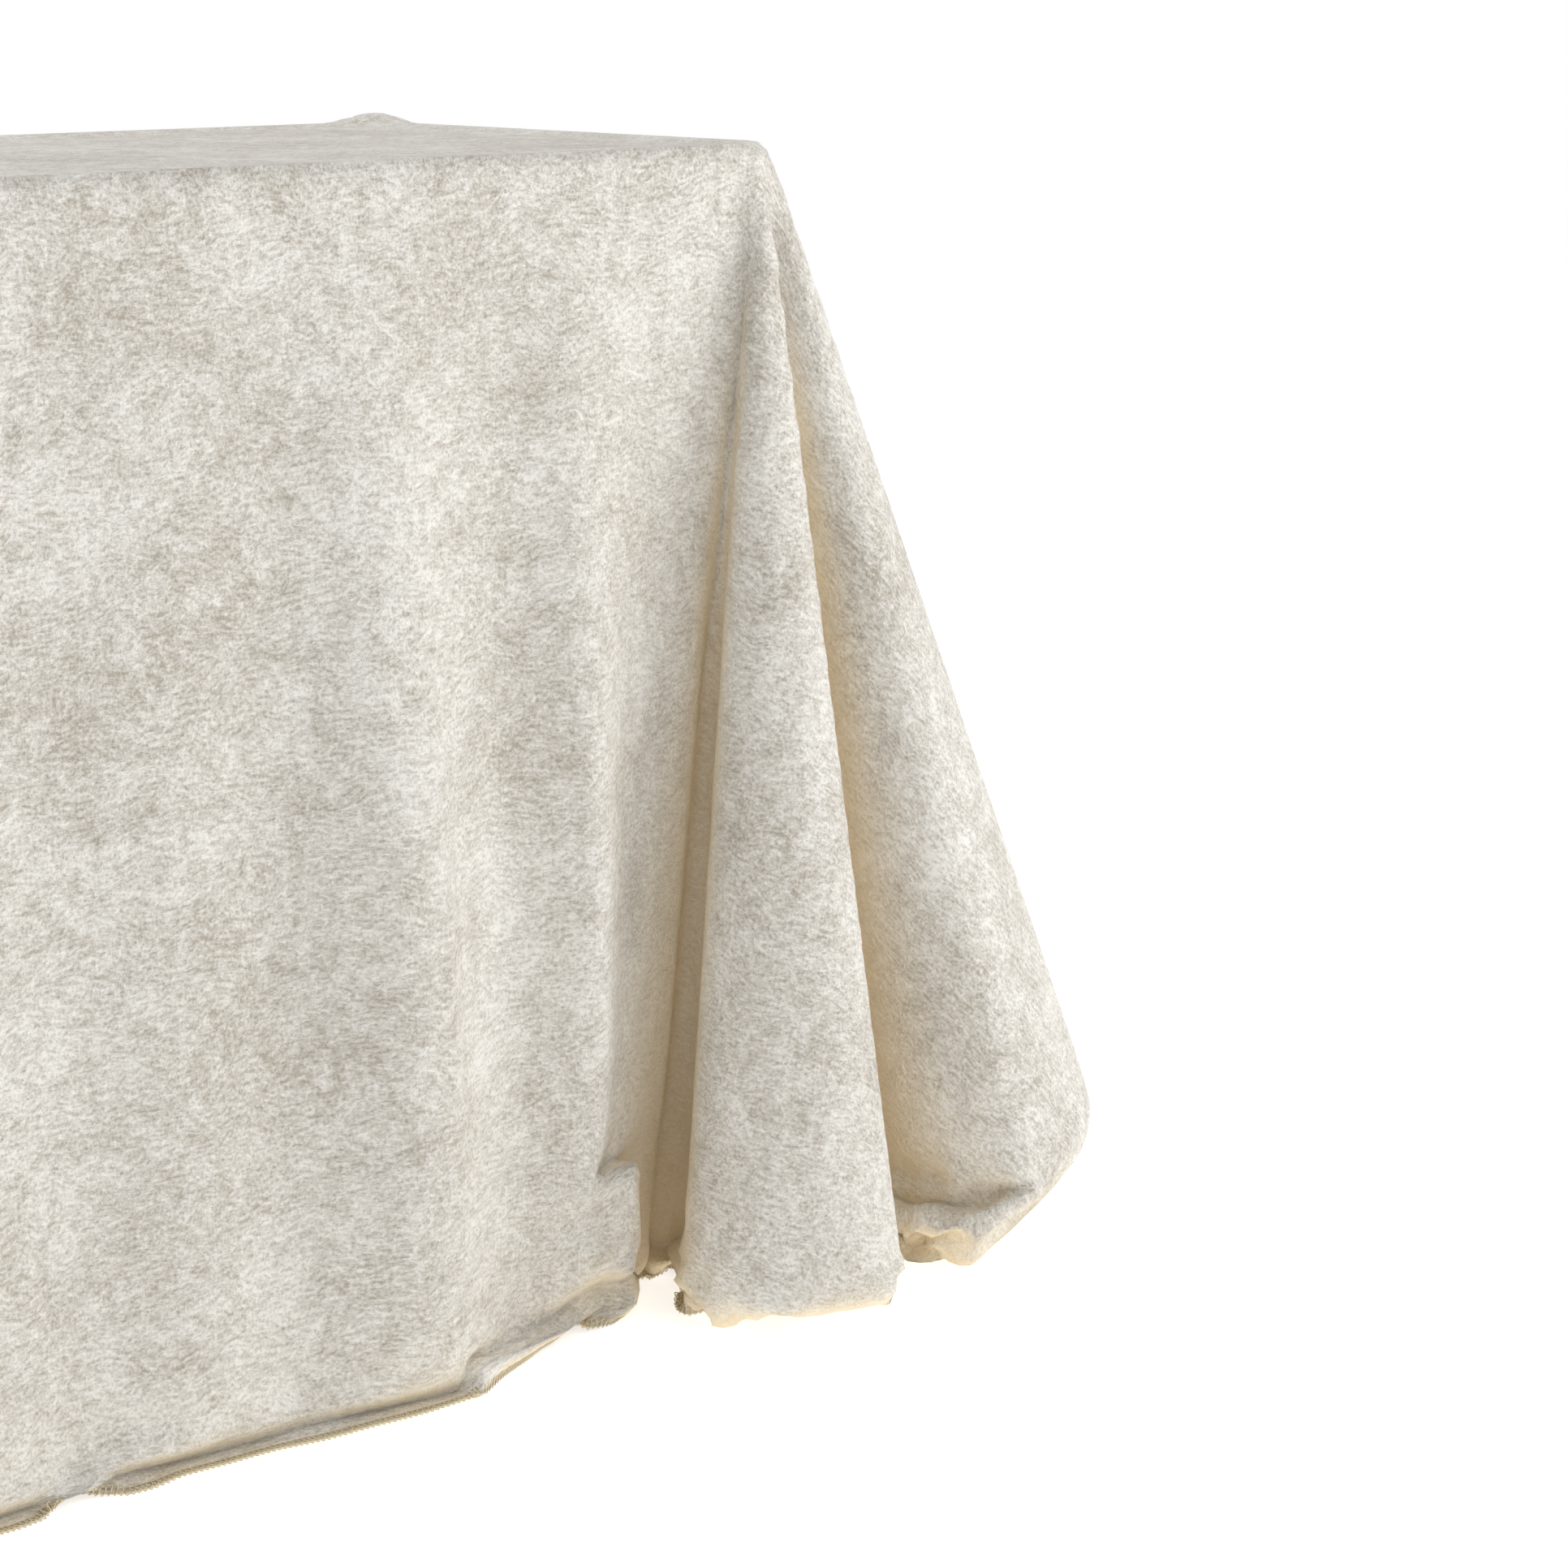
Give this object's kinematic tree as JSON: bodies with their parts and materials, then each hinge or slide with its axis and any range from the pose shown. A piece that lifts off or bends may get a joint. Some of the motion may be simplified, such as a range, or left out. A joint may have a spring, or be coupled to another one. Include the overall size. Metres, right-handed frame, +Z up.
{
  "type": "tablecloth",
  "caption": "Ivory crushed velvet tablecloth with square corners, floor length, over a folding seminar table",
  "frame": {"origin": "on the floor under the middle of the table", "axes": "+X along the long side, +Y to the back, +Z up"},
  "size_m": [2.359, 0.7784, 0.746],
  "materials": {
    "crushed_velvet": "crushed pile velvet, soft sheen",
    "thread": "matte spun polyester",
    "plywood": "sanded",
    "laminate": "fine texture",
    "vinyl_edging": "satin",
    "painted_tube": "powder coat, fine texture",
    "zinc_steel": "zinc plated",
    "rubber": "matte"
  },
  "bodies": {
    "table": {"table_board": "plywood", "top_laminate": "laminate", "edge_moulding": "vinyl_edging", "front_rail": "painted_tube", "back_rail": "painted_tube", "left_front_hinge_bracket": "zinc_steel", "left_back_hinge_bracket": "zinc_steel", "right_front_hinge_bracket": "zinc_steel", "right_back_hinge_bracket": "zinc_steel", "left_front_brace_anchor": "zinc_steel", "left_back_brace_anchor": "zinc_steel", "right_front_brace_anchor": "zinc_steel", "right_back_brace_anchor": "zinc_steel", "anchor_rivets": "zinc_steel", "bracket_screws": "zinc_steel", "rail_screws": "zinc_steel", "tablecloth": "crushed_velvet", "overlock_thread": "thread"},
    "left_leg_frame": {"left_front_leg": "painted_tube", "left_back_leg": "painted_tube", "left_hinge_tube": "painted_tube", "left_crossbar": "painted_tube", "left_leg_rivets": "zinc_steel", "left_foot_caps": "rubber"},
    "left_upper_brace": {"left_front_upper_link": "zinc_steel", "left_back_upper_link": "zinc_steel", "left_knee_rod": "zinc_steel"},
    "left_lower_brace": {"left_front_lower_link": "zinc_steel", "left_back_lower_link": "zinc_steel"},
    "right_leg_frame": {"right_front_leg": "painted_tube", "right_back_leg": "painted_tube", "right_hinge_tube": "painted_tube", "right_crossbar": "painted_tube", "right_leg_rivets": "zinc_steel", "right_foot_caps": "rubber"},
    "right_upper_brace": {"right_front_upper_link": "zinc_steel", "right_back_upper_link": "zinc_steel", "right_knee_rod": "zinc_steel"},
    "right_lower_brace": {"right_front_lower_link": "zinc_steel", "right_back_lower_link": "zinc_steel"}
  },
  "joints": [
    {"name": "left_leg_fold", "type": "hinge", "parent": "table", "child": "left_leg_frame", "pos_m": [-0.7645, 0, 0.702], "axis": [0, -1, 0], "range_deg": [0, 90]},
    {"name": "left_upper_brace_turn", "type": "hinge", "parent": "table", "child": "left_upper_brace", "pos_m": [-0.4445, 0, 0.702], "axis": [0, 1, 0], "range_deg": [0, 39.09]},
    {"name": "left_lower_brace_turn", "type": "hinge", "parent": "left_leg_frame", "child": "left_lower_brace", "pos_m": [-0.7645, 0, 0.442], "axis": [0, -1, 0], "range_deg": [0, 50.91]},
    {"name": "right_leg_fold", "type": "hinge", "parent": "table", "child": "right_leg_frame", "pos_m": [0.7645, 0, 0.702], "axis": [0, 1, 0], "range_deg": [0, 90]},
    {"name": "right_upper_brace_turn", "type": "hinge", "parent": "table", "child": "right_upper_brace", "pos_m": [0.4445, 0, 0.702], "axis": [0, -1, 0], "range_deg": [0, 39.09]},
    {"name": "right_lower_brace_turn", "type": "hinge", "parent": "right_leg_frame", "child": "right_lower_brace", "pos_m": [0.7645, 0, 0.442], "axis": [0, 1, 0], "range_deg": [0, 50.91]}
  ],
  "couplings": [
    {"joint": "left_upper_brace_turn", "follows": "left_leg_fold", "ratio": 0.43437},
    {"joint": "left_lower_brace_turn", "follows": "left_leg_fold", "ratio": 0.56562},
    {"joint": "right_upper_brace_turn", "follows": "right_leg_fold", "ratio": 0.43437},
    {"joint": "right_lower_brace_turn", "follows": "right_leg_fold", "ratio": 0.56562}
  ]
}
